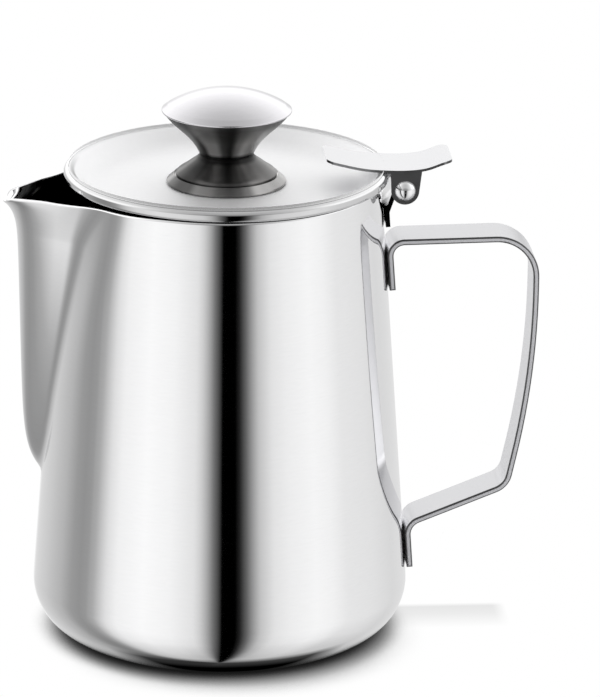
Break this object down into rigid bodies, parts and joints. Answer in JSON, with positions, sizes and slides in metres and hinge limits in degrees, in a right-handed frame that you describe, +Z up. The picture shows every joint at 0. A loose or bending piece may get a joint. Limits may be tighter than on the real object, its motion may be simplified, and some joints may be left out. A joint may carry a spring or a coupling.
{
  "type": "lidded milk jug",
  "caption": "Polished steel hot milk jug with a tapered body, a pressed pouring spout, a bent strip handle and a hinged lid with a thumb lever and a turned knob.",
  "frame": {"origin": "on the jug's own axis, in the plane it stands on, at the middle of the standing ring", "axes": "+Z up along the jug's axis, +X toward the handle with the spout at -X, +Y along the hinge pin"},
  "size_m": [0.1306, 0.0919, 0.1362],
  "materials": {
    "polished_steel": "mirror polished stainless steel",
    "satin_steel": "fine turned and brushed stainless steel"
  },
  "bodies": {
    "jug": {"jug_body": "polished_steel", "handle": "polished_steel", "hinge_bracket": "polished_steel"},
    "lid_group": {"lid": "polished_steel", "thumb_lever": "polished_steel", "hinge_pin": "polished_steel", "knob_collar": "satin_steel", "knob_skirt": "satin_steel", "knob_bell": "satin_steel", "knob_cap": "polished_steel", "knob_washer": "satin_steel", "knob_screw": "satin_steel"}
  },
  "joints": [
    {"name": "lid_hinge", "type": "hinge", "parent": "jug", "child": "lid_group", "pos_m": [0.0439, 0, 0.11235], "axis": [0, 1, 0], "range_deg": [0, 95]}
  ]
}
